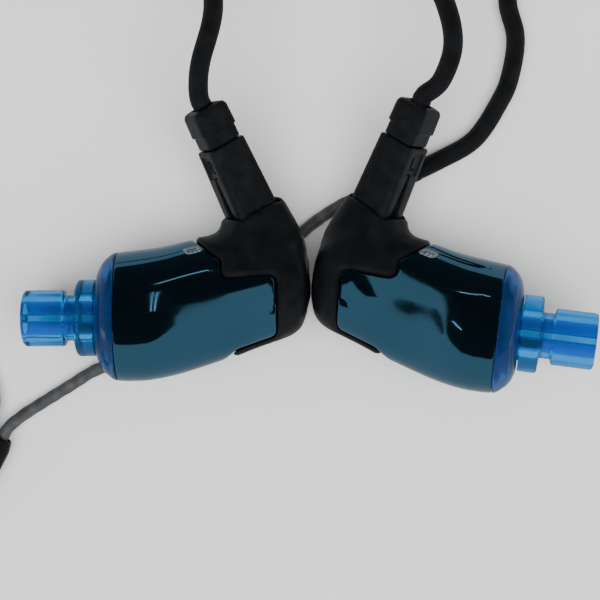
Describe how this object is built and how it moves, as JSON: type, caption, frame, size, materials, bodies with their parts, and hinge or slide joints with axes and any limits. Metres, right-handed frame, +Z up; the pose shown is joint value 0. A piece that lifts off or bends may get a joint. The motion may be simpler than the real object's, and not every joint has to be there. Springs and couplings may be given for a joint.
{
  "type": "in ear monitors",
  "caption": "Pair of universal-fit in-ear monitors with metallic teal shells, black rear boots, translucent blue nozzles and a detachable two-pin ear-hook cable ending in a stereo jack.",
  "frame": {"origin": "under the middle of the two monitors, on the surface they lie on", "axes": "+X from the right monitor's nozzle to the left monitor's, +Y towards the cable sockets, +Z up from the surface"},
  "size_m": [0.112, 0.0776, 0.0141],
  "materials": {
    "shell": "mirror-like metallic teal lacquer",
    "boot": "satin black, slightly rubbery",
    "cap": "frosted translucent royal blue",
    "nozzle": "clear translucent blue",
    "damper": "dark green fabric disc",
    "driver_metal": "plain drawn metal can",
    "board": "green circuit board",
    "sound_tube": "clear tube",
    "plug_plastic": "satin black moulding",
    "gold_contact": "gold plated",
    "cable_sleeve": "satin black",
    "cable": "dark grey twisted cable in a clear jacket",
    "insulator": "black"
  },
  "bodies": {
    "monitors_and_cable": {"left_shell": "shell", "left_rear_boot": "boot", "left_front_cap": "cap", "left_nozzle": "nozzle", "left_damper": "damper", "left_low_driver": "driver_metal", "left_mid_driver": "driver_metal", "left_high_driver": "driver_metal", "left_crossover_board": "board", "left_low_sound_tube": "sound_tube", "left_high_sound_tube": "sound_tube", "left_socket": "plug_plastic", "right_shell": "shell", "right_rear_boot": "boot", "right_front_cap": "cap", "right_nozzle": "nozzle", "right_damper": "damper", "right_low_driver": "driver_metal", "right_mid_driver": "driver_metal", "right_high_driver": "driver_metal", "right_crossover_board": "board", "right_low_sound_tube": "sound_tube", "right_high_sound_tube": "sound_tube", "right_socket": "plug_plastic", "left_branch_cable": "cable", "right_branch_cable": "cable", "branch_coil": "cable", "main_coil": "cable", "y_splitter": "plug_plastic", "cable_tie": "cable_sleeve", "jack_strain_relief": "cable_sleeve", "jack_body": "plug_plastic", "jack_sleeve": "gold_contact", "jack_insulator_a": "insulator", "jack_ring": "gold_contact", "jack_insulator_b": "insulator", "jack_tip": "gold_contact"},
    "left_plug_body": {"left_plug_shell": "plug_plastic", "left_plug_head": "plug_plastic", "left_plug_pin_a": "gold_contact", "left_plug_pin_b": "gold_contact", "left_ear_hook": "cable_sleeve"},
    "right_plug_body": {"right_plug_shell": "plug_plastic", "right_plug_head": "plug_plastic", "right_plug_pin_a": "gold_contact", "right_plug_pin_b": "gold_contact", "right_ear_hook": "cable_sleeve"},
    "slider_body": {"chin_slider": "plug_plastic"}
  },
  "joints": [
    {"name": "left_plug_release", "type": "slide", "parent": "monitors_and_cable", "child": "left_plug_body", "axis": [0.3596, 0.8707, 0.3355], "range_m": [0, 0.006], "deforming": ["left_branch_cable"]},
    {"name": "right_plug_release", "type": "slide", "parent": "monitors_and_cable", "child": "right_plug_body", "axis": [-0.4014, 0.8688, 0.29], "range_m": [0, 0.006], "deforming": ["right_branch_cable"]},
    {"name": "chin_slider_slide", "type": "slide", "parent": "monitors_and_cable", "child": "slider_body", "axis": [-0.45, -0.893, 0], "range_m": [0, 0.005]}
  ]
}
